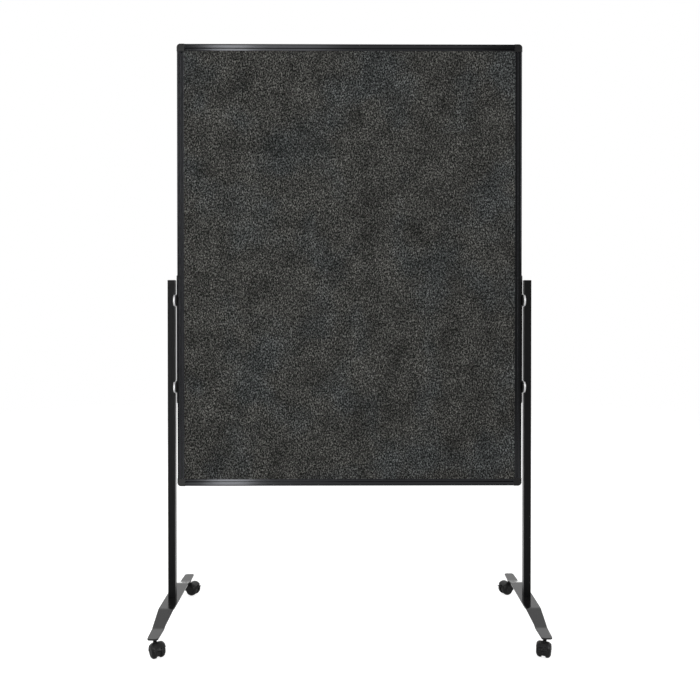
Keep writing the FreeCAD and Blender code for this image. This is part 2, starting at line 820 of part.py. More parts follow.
def pedal_tab(angle, start, end):
    """Flat tab across the wheels, with rounded outer corners."""
    turn = math.radians(angle)
    out = FreeCAD.Vector(math.cos(turn), 0, math.sin(turn))
    up = FreeCAD.Vector(-math.sin(turn), 0, math.cos(turn))
    half = pedal_tab_width / 2
    base = polar(pedal_pivot_radius, pedal_pivot_angle, 0) - up * (pedal_tab_thickness / 2)
    outline = ((start, -half, 0), (end, -half, pedal_tab_corner_radius),
               (end, half, pedal_tab_corner_radius), (start, half, 0))
    corners = [(base + out * reach + y_axis * y, radius) for reach, y, radius in outline]
    return prism(corners, up * pedal_tab_thickness)


def castor_axle():
    """Plain steel pin through the web and into both wheels."""
    half = wheel_outer - axle_cap
    return rod(axle_radius, FreeCAD.Vector(castor_trail, -half, wheel_radius),
               FreeCAD.Vector(castor_trail, half, wheel_radius))


def castor_wheel(side):
    """Hollow-backed wheel with a narrow tread, a domed shoulder and a dished face."""
    bore = axle_radius + running_clearance
    hub_start = web_width / 2 + wheel_hub_gap
    face = wheel_outer
    dish = face - wheel_dish_depth
    dish_radius = wheel_radius - wheel_dome - wheel_dish_margin
    rim_inner = wheel_radius - wheel_rim_wall
    back = wheel_outer - wheel_face_wall - wheel_dish_depth - wheel_dome / 2
    blind = wheel_outer - axle_cap + wheel_hub_gap
    outline = [
        (0, blind, 0), (bore, blind, 0), (bore, hub_start, 0), (wheel_hub_radius, hub_start, 0),
        (wheel_hub_radius, back, 0), (rim_inner, back, 0), (rim_inner, wheel_inner, 0),
        (wheel_radius - wheel_inner_chamfer, wheel_inner, 0),
        (wheel_radius, wheel_inner + wheel_inner_chamfer, 0),
        (wheel_radius, face, wheel_dome), (dish_radius + wheel_dish_depth, face, 0),
        (dish_radius, dish, 0), (0, dish, 0),
    ]
    centre = FreeCAD.Vector(castor_trail, 0, wheel_radius)
    corners = [(centre + z_axis * r + y_axis * (side * y), radius) for r, y, radius in outline]
    return spun(corners, centre, y_axis)


def castor_pieces():
    """Every piece of one castor, by name."""
    return {
        "stem": castor_stem(),
        "housing": castor_housing(),
        "axle": castor_axle(),
        "wheel_inner": castor_wheel(1),
        "wheel_outer": castor_wheel(-1),
        "brake_pedal": brake_pedal(),
    }


def all_castors():
    """The four castors, each turned about its own stem."""
    pieces = castor_pieces()
    nodes = {}
    for name, (side, end, angle) in castors.items():
        for piece_name, piece in pieces.items():
            copy = piece.copy()
            copy.rotate(FreeCAD.Vector(0, 0, 0), z_axis, angle)
            copy.translate(FreeCAD.Vector(side * castor_x, end * castor_reach, 0))
            nodes["castor_" + name + "_" + piece_name] = copy
    return nodes


def both_sides(name, shape):
    """The left and right copies of a piece that each post side has."""
    return {name + "_" + side_name: on_side(shape, side) for side_name, side in sides.items()}


def all_nodes():
    """Every node of the part, by name."""
    nodes = {}
    nodes.update(frame_rails())
    nodes.update(corner_caps())
    nodes.update(panel_layers())
    nodes.update(both_sides("side_plate", side_plate()))
    nodes["plate_screws"] = plate_screws()
    nodes.update(both_sides("nut_bar", nut_bar()))
    nodes["pad_washers"] = pad_washers()
    nodes.update(spacer_discs())
    nodes["board_bolts"] = board_bolts()
    nodes.update(both_sides("post", post()))
    nodes.update(both_sides("post_cap", post_cap()))
    nodes.update(both_sides("base_plug", base_plug()))
    nodes.update(both_sides("foot", foot()))
    nodes["foot_bolts"] = foot_bolts()
    nodes.update(all_castors())
    return nodes


os.makedirs("parts", exist_ok=True)
for node_name, node_shape in all_nodes().items():
    node_shape.exportStep("parts/" + node_name + ".step")
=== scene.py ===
import json
import math

import bpy
import bmesh
from mathutils import Euler, Matrix, Vector, noise


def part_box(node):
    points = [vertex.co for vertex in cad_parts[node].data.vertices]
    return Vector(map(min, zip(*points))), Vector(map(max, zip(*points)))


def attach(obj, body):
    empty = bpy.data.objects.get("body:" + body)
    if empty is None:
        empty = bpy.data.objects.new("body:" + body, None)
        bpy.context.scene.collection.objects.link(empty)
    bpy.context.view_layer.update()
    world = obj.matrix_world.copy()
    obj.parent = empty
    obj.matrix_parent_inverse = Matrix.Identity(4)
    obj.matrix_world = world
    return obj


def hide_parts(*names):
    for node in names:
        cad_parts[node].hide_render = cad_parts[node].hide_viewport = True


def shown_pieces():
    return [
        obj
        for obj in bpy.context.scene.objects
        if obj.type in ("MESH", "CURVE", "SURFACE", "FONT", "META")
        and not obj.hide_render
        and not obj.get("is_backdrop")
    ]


bl_info = {
    "name": "Mobile Pinboard",
    "version": (1, 0, 0),
    "blender": (4, 5, 0),
    "location": "View3D > Sidebar > Pinboard",
    "description": "Felts, fasteners, castor details, finishes and studio of a mobile pinboard",
    "category": "Object",
}

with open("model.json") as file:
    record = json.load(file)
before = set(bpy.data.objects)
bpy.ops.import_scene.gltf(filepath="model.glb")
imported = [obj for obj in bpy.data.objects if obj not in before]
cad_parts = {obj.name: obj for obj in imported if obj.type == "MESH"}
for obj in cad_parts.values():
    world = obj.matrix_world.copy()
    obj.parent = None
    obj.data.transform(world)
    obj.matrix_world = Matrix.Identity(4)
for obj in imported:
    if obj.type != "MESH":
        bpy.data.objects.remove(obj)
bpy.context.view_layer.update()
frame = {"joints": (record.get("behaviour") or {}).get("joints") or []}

SIDES = {"left": -1, "right": 1}
LEVELS = ("upper", "lower")
CASTORS = ("front_left", "front_right", "rear_left", "rear_right")
JOINTS = {joint["name"]: joint for joint in frame["joints"]}
UP = Vector((0, 0, 1))
MM = 0.001

# The narrower and the wider share of a head's radius that its socket's radius or depth takes.
NARROW_SHARE = 0.36
WIDE_SHARE = 0.4

# A low round head's outline: shares of its radius and of its height, from the socket to the post.
HEAD_OUTLINE = ((0.62, 0.0), (0.82, 0.08), (0.94, 0.3), (1.0, 0.62), (1.0, 1.0))

# Turns and squashes of the felt's fibre noises, which make tufts lean right, left or stand upright.
LEANING_RIGHT = ((0, math.radians(28), 0), (1, 1, 0.56))
LEANING_LEFT = ((0, math.radians(-34), 0), (1, 1, 0.62))
UPRIGHT = ((0, math.radians(4), 0), (1, 1, 0.75))

# Noises as scale, detail and roughness.
RIGHT_TUFTS = (292.0, 3.0, 0.64)
LEFT_TUFTS = (328.0, 3.0, 0.64)
FLECKS = (212.0, 3.0, 0.72)
FIBRES = (1500.0, 3.0, 0.7)
CLOUDS = (10.0, 4.0, 0.62)
CAST_PATCHES = (4.6, 2.0, 0.5)
DUST_SPECKS = (62.0, 5.0, 0.7)
TREAD_SCUFFS = (240.0, 4.0, 0.7)
RAIL_LINES = (1.0, 3.0, 0.65)
RAIL_STREAKS = (0.23, 2.0, 0.5)

# The range that a noise's values fill, and the middle part of it.
NOISE_SPAN = (0.3, 0.7)
MIDDLE_SPAN = (0.35, 0.65)

# How far draw lines are squeezed along a rail and across it.
ALONG_RAIL = 3.0
ACROSS_RAIL = 2200.0

# The soft lights: place, aimed-at point, width and height in metres.
LIGHTS = {
    "key": ((-3.1, -2.4, 2.6), (0, 0, 1.15), (1.8, 1.8)),
    "fill": ((3.1, -2.4, 2.4), (0, 0, 1.15), (1.8, 1.8)),
    "top": ((0, 0.2, 4.2), (0, 0.2, 0), (3.2, 2.6)),
    "strip": ((-0.672, -1.7, 1.34), (-0.43, 0, 1.34), (0.22, 2.66)),
    "glow": ((-0.45, -3.2, 1.68), (-0.2, 0, 1.68), (0.6, 3.3)),
    "haze": ((0.12, -3.3, 1.68), (0.1, 0, 1.68), (1.9, 3.3)),
}


def size_property(name, description, default, lowest=0.0):
    """A length that a user may change, in metres."""
    return bpy.props.FloatProperty(
        name=name, description=description, default=default, min=lowest, precision=5,
        subtype="DISTANCE", unit="LENGTH")


def colour_property(name, description, default):
    """A finish's colour."""
    return bpy.props.FloatVectorProperty(
        name=name, description=description, default=default, size=3, min=0, max=1, subtype="COLOR")


def number_property(name, description, default, highest=100.0):
    """A plain factor."""
    return bpy.props.FloatProperty(
        name=name, description=description, default=default, min=0, max=highest)


class PinboardSizes(bpy.types.PropertyGroup):
    """Sizes of the pieces that the scene adds to the frame."""

    felt_cell: size_property(
        "Felt cell", "Spacing of the felt's surface points", 0.0085, 0.004)
    felt_relief: size_property(
        "Felt relief", "Height of the felt's soft unevenness", 0.00022)
    felt_relief_spread: size_property(
        "Relief spread", "Width of one rise or hollow of the felt", 0.035, 0.005)
    felt_rim: size_property(
        "Pinched rim", "Width of the felt's rim under the rails' lips", 0.0041)
    felt_pinch: size_property(
        "Pinch", "How far the lips press the rim in", 0.0005)
    felt_corner: size_property(
        "Felt corner", "Rounding of the free felt at its corners", 0.006)
    bolt_head: size_property(
        "Bolt head radius", "Radius of the low-headed bolts on the posts", 0.0055)
    bolt_head_height: size_property(
        "Bolt head height", "Height of the low-headed bolts", 0.0018)
    bolt_shank: size_property(
        "Bolt shank radius", "Radius of the bolts that carry the board", 0.003)
    screw_head: size_property(
        "Plate screw head radius", "Radius of the countersunk plate screws", 0.0038)
    screw_shank: size_property(
        "Plate screw shank radius", "Radius of the plate screws' shanks", 0.002)
    screw_length: size_property(
        "Plate screw length", "Length of the plate screws", 0.0082)
    screw_end_distance: size_property(
        "Screw end distance", "Distance of a plate screw from the plate's end", 0.02)
    foot_bolt_head: size_property(
        "Foot bolt head radius", "Radius of the countersunk foot bolts", 0.0075)
    foot_bolt_shank: size_property(
        "Foot bolt shank radius", "Radius of the foot bolts' shanks", 0.004)
    foot_bolt_length: size_property(
        "Foot bolt length", "Length of the foot bolts", 0.025)
    foot_thickness: size_property(
        "Foot thickness", "Thickness of the bent foot", 0.005)
    rib_length: size_property(
        "Rib length", "Length of a grip rib across the brake tab", 0.023)
    rib_width: size_property(
        "Rib width", "Width of a grip rib", 0.0008)
    rib_height: size_property(
        "Rib height", "Height of a grip rib over the tab", 0.0005)


class PinboardFinishes(bpy.types.PropertyGroup):
    """Colours of the finishes."""

    felt_dark: colour_property(
        "Dark fibres", "Darkest fibres of the felt", (0.0046, 0.0046, 0.0047))
    felt_middle: colour_property(
        "Middle fibres", "Main tone of the felt", (0.0342, 0.0341, 0.0334))
    felt_light: colour_property(
        "Light fibres", "Lightest fibres of the felt", (0.198, 0.197, 0.194))
    felt_warm: colour_property(
        "Warm cast", "Faint warm cast over most of the felt", (1.0, 0.995, 0.94))
    felt_cool: colour_property(
        "Cool cast", "Faint cool cast in patches of the felt", (0.925, 0.985, 1.0))
    anodised: colour_property(
        "Anodised rail", "Dark anodised aluminium of the rails", (0.046, 0.047, 0.05))
    paint: colour_property(
        "Black paint", "Powder paint of posts, plates and feet", (0.006, 0.006, 0.0064))
    caps: colour_property(
        "Caps", "Moulded corner and post caps", (0.004, 0.004, 0.0043))
    washers: colour_property(
        "Washers", "Dark washers behind the discs", (0.016, 0.016, 0.016))
    discs: colour_property(
        "Discs", "Turned aluminium of the spacer discs", (0.9, 0.9, 0.905))
    steel: colour_property(
        "Steel", "Plated steel of bolts, screws, stems and axles", (0.47, 0.47, 0.46))
    castors: colour_property(
        "Castors", "Moulded castor housings", (0.0165, 0.0165, 0.017))
    # Black moulding, kept darker than the castor housings as painted shade for the shade under the hoods.
    pedals: colour_property(
        "Pedals", "Moulded brake pedals", (0.003, 0.003, 0.0032))
    wheels: colour_property(
        "Wheels", "Moulded castor wheels", (0.0155, 0.0155, 0.016))
    dust: colour_property(
        "Dust", "Light dust on upward faces and treads", (0.16, 0.15, 0.135))
    core: colour_property(
        "Core", "Soft fibreboard inside the panel", (0.42, 0.34, 0.24))
    floor: colour_property(
        "Floor", "Pale studio floor", (0.62, 0.62, 0.62))


class PinboardStudio(bpy.types.PropertyGroup):
    """Camera and light."""

    camera_left: size_property(
        "Camera left", "How far the camera stands left of the middle", 0.0118)
    camera_distance: size_property(
        "Camera distance", "Distance of the camera from the posts", 2.6, 0.5)
    camera_height: size_property(
        "Camera height", "Height of the camera over the floor", 1.1015)
    camera_pitch: bpy.props.FloatProperty(
        name="Camera tilt", description="Downward tilt of the camera", default=math.radians(0.5),
        subtype="ANGLE")
    camera_turn: bpy.props.FloatProperty(
        name="Camera turn", description="Turn of the camera to the right", default=math.radians(0.35),
        subtype="ANGLE")
    camera_lens: number_property("Lens", "Focal length in millimetres", 38.76, 200.0)
    camera_shift_left: number_property("Shift left", "Sideways shift of the lens", 0.0013, 1.0)
    camera_shift_down: number_property("Shift down", "Downward shift of the lens", 0.0585, 1.0)
    key_power: number_property("Key", "Power of the soft light at the upper left, in watts", 24.0, 2000.0)
    fill_power: number_property("Fill", "Power of the soft light at the right, in watts", 54.0, 2000.0)
    top_power: number_property("Overhead", "Power of the soft light overhead, in watts", 7.0, 2000.0)
    glow_power: number_property("Glow", "Power of the soft light beside the strip, in watts", 9.0, 2000.0)
    haze_power: number_property("Haze", "Power of the wide faint light in front, in watts", 10.0, 2000.0)
    strip_power: number_property("Strip", "Power of the narrow light at the left, in watts", 12.0, 2000.0)


def sizes():
    """The scene's sizes."""
    return bpy.context.scene.pinboard_sizes


def finishes():
    """The scene's colours."""
    return bpy.context.scene.pinboard_finishes


def studio():
    """The scene's camera and light values."""
    return bpy.context.scene.pinboard_studio


# Meshes

def finished_object(name, bm, body="root"):
    """An object at the origin made of a finished bmesh, riding on a body."""
    same_point = 0.02 * MM
    bmesh.ops.remove_doubles(bm, verts=bm.verts, dist=same_point)
    bmesh.ops.recalc_face_normals(bm, faces=bm.faces)
    mesh = bpy.data.meshes.new(name)
    bm.to_mesh(mesh)
    bm.free()
    made = bpy.data.objects.new(name, mesh)
    bpy.context.scene.collection.objects.link(made)
    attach(made, body)
    return made


def smooth_by_angle(made, degrees):
    """Shades a piece smooth except across sharp edges."""
    mesh = made.data
    for polygon in mesh.polygons:
        polygon.use_smooth = True
    bm = bmesh.new()
    bm.from_mesh(mesh)
    limit = math.radians(degrees)
    for edge in bm.edges:
        edge.smooth = len(edge.link_faces) == 2 and edge.calc_face_angle() < limit
    bm.to_mesh(mesh)
    bm.free()


def open_edges(bm):
    """The rim that a growing shell has left open."""
    return [edge for edge in bm.edges if edge.is_boundary]


def grown_ring(bm, rim):
    """Extrudes a rim and gives back the new edges and their points."""
    made = bmesh.ops.extrude_edge_only(bm, edges=rim)["geom"]
    points = [item for item in made if isinstance(item, bmesh.types.BMVert)]
    edges = [item for item in made if isinstance(item, bmesh.types.BMEdge)]
    fresh = set(points)
    return [edge for edge in edges if set(edge.verts) <= fresh], points


def socket_fastener(bm, place, socket_radius, socket_depth, rings):
    """A head with a hexagonal socket, then rings of (radius, height) down to the shank's end.

    The head faces local +Z at height 0, and place sets it in the row frame.
    """
    start = len(bm.verts)
    side_cuts = 7
    made = bmesh.ops.create_circle(bm, cap_ends=False, segments=6, radius=socket_radius)
    hexagon = list({edge for vert in made["verts"] for edge in vert.link_edges})
    bmesh.ops.subdivide_edges(bm, edges=hexagon, cuts=side_cuts)
    bm.verts.ensure_lookup_table()
    mouth = list(bm.verts)[start:]
    mouth_edges = list({edge for vert in mouth for edge in vert.link_edges})
    floor_edges, floor = grown_ring(bm, mouth_edges)
    bmesh.ops.translate(bm, verts=floor, vec=-UP * socket_depth)
    bmesh.ops.edgenet_fill(bm, edges=floor_edges)
    rim = mouth_edges
    for radius, height in rings:
        rim, points = grown_ring(bm, rim)
        for point in points:
            point.co = (point.co.xy.normalized() * radius).to_3d()
            point.co.z = height
    bmesh.ops.edgenet_fill(bm, edges=rim)
    bm.verts.ensure_lookup_table()
    bmesh.ops.transform(bm, matrix=place, verts=list(bm.verts)[start:])


def facing(point, direction):
    """A place whose local +Z looks along a direction."""
    return Matrix.Translation(point) @ direction.to_track_quat("Z", "Y").to_matrix().to_4x4()


def bevelled_bar(bm, place, length, width, height, edge):
    """A bar with softened edges, centred on a place with its length along local Y."""
    made = bmesh.ops.create_cube(bm, size=1.0)["verts"]
    bmesh.ops.scale(bm, verts=made, vec=Vector((width, length, height)))
    edges = list({item for vert in made for item in vert.link_edges})
    rounded = bmesh.ops.bevel(
        bm, geom=edges, offset=edge, segments=2, profile=0.5, affect="EDGES", material=-1)
    verts = list({vert for face in rounded["faces"] for vert in face.verts})
    bmesh.ops.transform(bm, matrix=place, verts=verts)


def felt_sheet(bm, low, high, outward, values):
    """A felt: a softly uneven free face, a step at its edge and a thinner rim that the lips hold.

    low and high are the corners of the CAD felt, outward the sign of the side it faces.
    """
    width = high.x - low.x
    height = high.z - low.z
    middle = (low + high) / 2
    outer = high.y if outward > 0 else low.y
    inner = low.y if outward > 0 else high.y
    free_width = width - 2 * values.felt_rim
    free_height = height - 2 * values.felt_rim
    columns = round(free_width / values.felt_cell)
    rows = round(free_height / values.felt_cell)
    bmesh.ops.create_grid(bm, x_segments=columns, y_segments=rows, size=0.5)
    bmesh.ops.scale(bm, verts=bm.verts, vec=Vector((free_width, free_height, 1)))
    corners = [vert for vert in bm.verts if len(vert.link_edges) == 2]
    bmesh.ops.bevel(
        bm, geom=corners, offset=values.felt_corner, segments=4, profile=0.5,
        affect="VERTICES", material=-1)
    upright = Matrix.Translation((middle.x, outer, middle.z)) @ Matrix.Rotation(math.radians(90), 4, "X")
    bmesh.ops.transform(bm, matrix=upright, verts=bm.verts)
    edge_run = 3 * values.felt_cell
    dimension, gap, octaves = 0.6, 2.1, 3
    for vert in bm.verts:
        across = free_width / 2 - abs(vert.co.x - middle.x)
        up = free_height / 2 - abs(vert.co.z - middle.z)
        share = min(1.0, across / edge_run, up / edge_run)
        where = vert.co / values.felt_relief_spread
        rise = noise.fractal(where, dimension, gap, octaves)
        vert.co.y -= outward * share * values.felt_relief * (1 + rise)
    rim, points = grown_ring(bm, open_edges(bm))
    bmesh.ops.translate(bm, verts=points, vec=Vector((0, -outward * values.felt_pinch, 0)))
    rim, points = grown_ring(bm, rim)
    centred = Matrix.Translation(-middle)
    stretch = Vector((width / free_width, 1, height / free_height))
    bmesh.ops.scale(bm, verts=points, vec=stretch, space=centred)
    rim, points = grown_ring(bm, rim)
    back = inner - (outer - outward * values.felt_pinch)
    bmesh.ops.translate(bm, verts=points, vec=Vector((0, back, 0)))
    bmesh.ops.edgenet_fill(bm, edges=rim)


# Materials

def added(tree, kind, inputs=None, **settings):
    """A new node with its settings and the values of its unlinked sockets."""
    node = tree.nodes.new(kind)
    for key, value in settings.items():
        setattr(node, key, value)
    for key, value in (inputs or {}).items():
        node.inputs[key].default_value = value
    return node


def new_group(name, inputs, outputs):
    """An empty shader group with named sockets: the tree, its inputs' node and its outputs' node."""
    tree = bpy.data.node_groups.new(name, "ShaderNodeTree")
    for label, kind in inputs:
        tree.interface.new_socket(label, in_out="INPUT", socket_type="NodeSocket" + kind)
    for label, kind in outputs:
        tree.interface.new_socket(label, in_out="OUTPUT", socket_type="NodeSocket" + kind)
    return tree, added(tree, "NodeGroupInput"), added(tree, "NodeGroupOutput")


def object_point(tree, turn=(0, 0, 0), scale=(1, 1, 1)):
    """Object coordinates, turned and stretched."""
    place = added(tree, "ShaderNodeTexCoord")
    mapping = added(tree, "ShaderNodeMapping", {"Rotation": turn, "Scale": scale})
    tree.links.new(place.outputs["Object"], mapping.inputs["Vector"])
    return mapping.outputs["Vector"]


def noise_value(tree, vector, scale, detail=2.0, roughness=0.5):
    """A noise's value over a vector."""
    made = added(tree, "ShaderNodeTexNoise", {"Scale": scale, "Detail": detail, "Roughness": roughness})
    tree.links.new(vector, made.inputs["Vector"])
    return made.outputs["Fac"]


def ranged(tree, value, low, high, new_low, new_high, smooth=False):
    """A value carried from one range to another and clamped."""
    values = {"From Min": low, "From Max": high, "To Min": new_low, "To Max": new_high}
    kind = "SMOOTHSTEP" if smooth else "LINEAR"
    made = added(tree, "ShaderNodeMapRange", values, interpolation_type=kind)
    tree.links.new(value, made.inputs["Value"])
    return made.outputs["Result"]


def worked(tree, operation, first, second):
    """Two values put together by a Math node."""
    made = added(tree, "ShaderNodeMath", operation=operation)
    for socket, value in zip(made.inputs, (first, second)):
        if isinstance(value, (int, float)):
            socket.default_value = value
        else:
            tree.links.new(value, socket)
    return made.outputs["Value"]


def mixed(tree, factor, first, second, blend="MIX"):
    """Two colours mixed by a factor."""
    made = added(tree, "ShaderNodeMix", data_type="RGBA", blend_type=blend)
    colour_sockets = (made.inputs[6], made.inputs[7])
    if isinstance(factor, (int, float)):
        made.inputs[0].default_value = factor
    else:
        tree.links.new(factor, made.inputs[0])
    for socket, value in zip(colour_sockets, (first, second)):
        if isinstance(value, bpy.types.NodeSocket):
            tree.links.new(value, socket)
        else:
            socket.default_value = (*value, 1)
    return made.outputs[2]


def heather_group():
    """Felt of mingled dark, middle and light fibres with soft clouds and faint casts."""
    colours = (("Dark", "Color"), ("Middle", "Color"), ("Light", "Color"),
               ("Warm", "Color"), ("Cool", "Color"))
    tree, given, result = new_group("Heather Felt", colours, (("Color", "Color"), ("Height", "Float")))
    leaning_right = object_point(tree, *LEANING_RIGHT)
    leaning_left = object_point(tree, *LEANING_LEFT)
    upright = object_point(tree, *UPRIGHT)
    plain = object_point(tree)
    tufts_right = noise_value(tree, leaning_right, *RIGHT_TUFTS)
    tufts_left = noise_value(tree, leaning_left, *LEFT_TUFTS)
    flecks = noise_value(tree, upright, *FLECKS)
    fibres = noise_value(tree, leaning_right, *FIBRES)
    clouds = noise_value(tree, plain, *CLOUDS)
    patches = noise_value(tree, plain, *CAST_PATCHES)
    darkest, lightest, middle = 0.466, 0.614, 0.45
    fibre_contrast = 0.045
    cloud_contrast = 0.39
    cool_from, cool_full = 0.5, 0.64
    crossed = worked(tree, "MAXIMUM", tufts_right, tufts_left)
    half_tufts = worked(tree, "MULTIPLY", crossed, 0.5)
    half_flecks = worked(tree, "MULTIPLY", flecks, 0.5)
    woven = worked(tree, "ADD", half_tufts, half_flecks)
    lit = worked(tree, "ADD", woven, ranged(tree, fibres, *NOISE_SPAN, -fibre_contrast, fibre_contrast))
    tone = ranged(tree, lit, darkest, lightest, 0.0, 1.0)
    to_middle = ranged(tree, tone, 0.0, middle, 0.0, 1.0)
    to_light = ranged(tree, tone, middle, 1.0, 0.0, 1.0)
    dark_side = mixed(tree, to_middle, given.outputs["Dark"], given.outputs["Middle"])
    both = mixed(tree, to_light, dark_side, given.outputs["Light"])
    cool_share = ranged(tree, patches, cool_from, cool_full, 0.0, 1.0)
    cast = mixed(tree, cool_share, given.outputs["Warm"], given.outputs["Cool"])
    tinted = mixed(tree, 1.0, both, cast, "MULTIPLY")
    level = ranged(tree, clouds, *NOISE_SPAN, 1 - cloud_contrast, 1 + cloud_contrast)
    scaled = added(tree, "ShaderNodeVectorMath", operation="SCALE")
    tree.links.new(tinted, scaled.inputs[0])
    tree.links.new(level, scaled.inputs["Scale"])
    tree.links.new(scaled.outputs["Vector"], result.inputs["Color"])
    fibre_height = 0.6
    height = worked(tree, "ADD", woven, worked(tree, "MULTIPLY", fibres, fibre_height))
    tree.links.new(height, result.inputs["Height"])
    return tree


def grain_group():
    """Fine grain of powder paint and moulded plastic, with slow changes of gloss."""
    inputs = (("Grain", "Float"), ("Gloss Patches", "Float"))
    tree, given, result = new_group("Fine Grain", inputs, (("Height", "Float"), ("Patches", "Float")))
    plain = object_point(tree)
    fine_roughness = 0.55
    slow_roughness = 0.6
    fine = added(tree, "ShaderNodeTexNoise", {"Detail": 2.0, "Roughness": fine_roughness})
    tree.links.new(plain, fine.inputs["Vector"])
    tree.links.new(given.outputs["Grain"], fine.inputs["Scale"])
    slow = added(tree, "ShaderNodeTexNoise", {"Detail": 3.0, "Roughness": slow_roughness})
    tree.links.new(plain, slow.inputs["Vector"])
    tree.links.new(given.outputs["Gloss Patches"], slow.inputs["Scale"])
    tree.links.new(fine.outputs["Fac"], result.inputs["Height"])
    tree.links.new(ranged(tree, slow.outputs["Fac"], *NOISE_SPAN, 0.0, 1.0), result.inputs["Patches"])
    return tree


def draw_line_group():
    """Faint lines that the press leaves along an extruded rail."""
    tree, given, result = new_group(
        "Draw Lines", (("Stretch", "Vector"),), (("Height", "Float"), ("Streaks", "Float")))
    place = added(tree, "ShaderNodeTexCoord")
    mapping = added(tree, "ShaderNodeMapping")
    tree.links.new(place.outputs["Object"], mapping.inputs["Vector"])
    tree.links.new(given.outputs["Stretch"], mapping.inputs["Scale"])
    lines = noise_value(tree, mapping.outputs["Vector"], *RAIL_LINES)
    streaks = noise_value(tree, mapping.outputs["Vector"], *RAIL_STREAKS)
    tree.links.new(lines, result.inputs["Height"])
    tree.links.new(ranged(tree, streaks, *MIDDLE_SPAN, 0.0, 1.0), result.inputs["Streaks"])
    return tree


def turning_group():
    """Rings about a local X axis, as a lathe or a round mould leaves them."""
    inputs = (("Centre", "Vector"), ("Turn", "Vector"), ("Rings", "Float"))
    tree, given, result = new_group("Turning Marks", inputs, (("Height", "Float"), ("Radius", "Float")))
    place = added(tree, "ShaderNodeTexCoord")
    mapping = added(tree, "ShaderNodeMapping", vector_type="TEXTURE")
    tree.links.new(place.outputs["Object"], mapping.inputs["Vector"])
    tree.links.new(given.outputs["Centre"], mapping.inputs["Location"])
    tree.links.new(given.outputs["Turn"], mapping.inputs["Rotation"])
    flat = added(tree, "ShaderNodeVectorMath", {1: (0, 1, 1)}, operation="MULTIPLY")
    tree.links.new(mapping.outputs["Vector"], flat.inputs[0])
    radius = added(tree, "ShaderNodeVectorMath", operation="LENGTH")
    tree.links.new(flat.outputs["Vector"], radius.inputs[0])
    rings = added(tree, "ShaderNodeTexNoise", {"Detail": 2.0, "Roughness": 0.6}, noise_dimensions="1D")
    tree.links.new(radius.outputs["Value"], rings.inputs["W"])
    tree.links.new(given.outputs["Rings"], rings.inputs["Scale"])
    tree.links.new(rings.outputs["Fac"], result.inputs["Height"])
    tree.links.new(radius.outputs["Value"], result.inputs["Radius"])
    return tree


def dust_group():
    """Where light dust settles: upward faces, in patches."""
    tree, given, result = new_group("Settled Dust", (("Amount", "Float"),), (("Mask", "Float"),))
    place = added(tree, "ShaderNodeTexCoord")
    parts = added(tree, "ShaderNodeSeparateXYZ")
    tree.links.new(place.outputs["Normal"], parts.inputs["Vector"])
    steepest = 0.55
    thinnest = 0.25
    sparse, dense = 0.42, 0.66
    facing_up = ranged(tree, parts.outputs["Z"], steepest, 1.0, 0.0, 1.0, True)
    noise_over_part = noise_value(tree, object_point(tree), *DUST_SPECKS)
    specks = ranged(tree, noise_over_part, sparse, dense, thinnest, 1.0)
    settled = worked(tree, "MULTIPLY", facing_up, specks)
    mask = worked(tree, "MULTIPLY", settled, given.outputs["Amount"])
    tree.links.new(mask, result.inputs["Mask"])
    return tree


def placed_group(tree, group, values):
    """A shared group placed in a material with its own values."""
    node = added(tree, "ShaderNodeGroup", node_tree=bpy.data.node_groups[group])
    for key, value in values.items():
        node.inputs[key].default_value = value
    return node


def new_material(name, colour, metallic=0.0, roughness=0.5, specular=0.5):
    """A material with its Principled shader, ready for what varies."""
    made = bpy.data.materials.new(name)
    made.use_nodes = True
    tree = made.node_tree
    shader = tree.nodes["Principled BSDF"]
    shader.inputs["Base Color"].default_value = (*colour, 1)
    shader.inputs["Metallic"].default_value = metallic
    shader.inputs["Roughness"].default_value = roughness
    shader.inputs["Specular IOR Level"].default_value = specular
    return made, tree, shader


def bumped(tree, shader, height, distance, strength=1.0):
    """Feeds a height through a Bump node into a shader's normal."""
    bump = added(tree, "ShaderNodeBump", {"Strength": strength, "Distance": distance})
    tree.links.new(height, bump.inputs["Height"])
    tree.links.new(bump.outputs["Normal"], shader.inputs["Normal"])


def dusted(tree, shader, amount):
    """Lays the shared dust over a shader's colour and gives back its mask."""
    clean = tuple(shader.inputs["Base Color"].default_value)[:3]
    dust = placed_group(tree, "Settled Dust", {"Amount": amount})
    colour = mixed(tree, dust.outputs["Mask"], clean, finishes().dust[:])
    tree.links.new(colour, shader.inputs["Base Color"])
    return dust.outputs["Mask"]


def grained_finish(
        name, colour, roughness, specular, grain=1300.0, height=0.03 * MM, spread=0.04, dust=0.05):
    """Powder paint or moulded plastic: grain, patches of gloss and a little dust."""
    made, tree, shader = new_material(name, colour, roughness=roughness, specular=specular)
    texture = placed_group(tree, "Fine Grain", {"Grain": grain, "Gloss Patches": 9.0})
    patches = ranged(tree, texture.outputs["Patches"], 0.0, 1.0, roughness - spread, roughness + spread)
    dust_roughness = 0.5
    dulled = worked(tree, "MULTIPLY", dusted(tree, shader, dust), dust_roughness)
    rough = worked(tree, "ADD", patches, dulled)
    tree.links.new(rough, shader.inputs["Roughness"])
    bumped(tree, shader, texture.outputs["Height"], height)
    return made


def felt_finish():
    """Heathered anthracite felt."""
    colours = finishes()
    made, tree, shader = new_material(
        "heather_felt", colours.felt_middle, roughness=0.95, specular=0.07)
    shader.inputs["Sheen Weight"].default_value = 0.04
    shader.inputs["Sheen Roughness"].default_value = 0.6
    values = {
        "Dark": (*colours.felt_dark, 1), "Middle": (*colours.felt_middle, 1),
        "Light": (*colours.felt_light, 1), "Warm": (*colours.felt_warm, 1),
        "Cool": (*colours.felt_cool, 1),
    }
    heather = placed_group(tree, "Heather Felt", values)
    tree.links.new(heather.outputs["Color"], shader.inputs["Base Color"])
    bumped(tree, shader, heather.outputs["Height"], distance=0.6 * MM, strength=0.8)
    return made


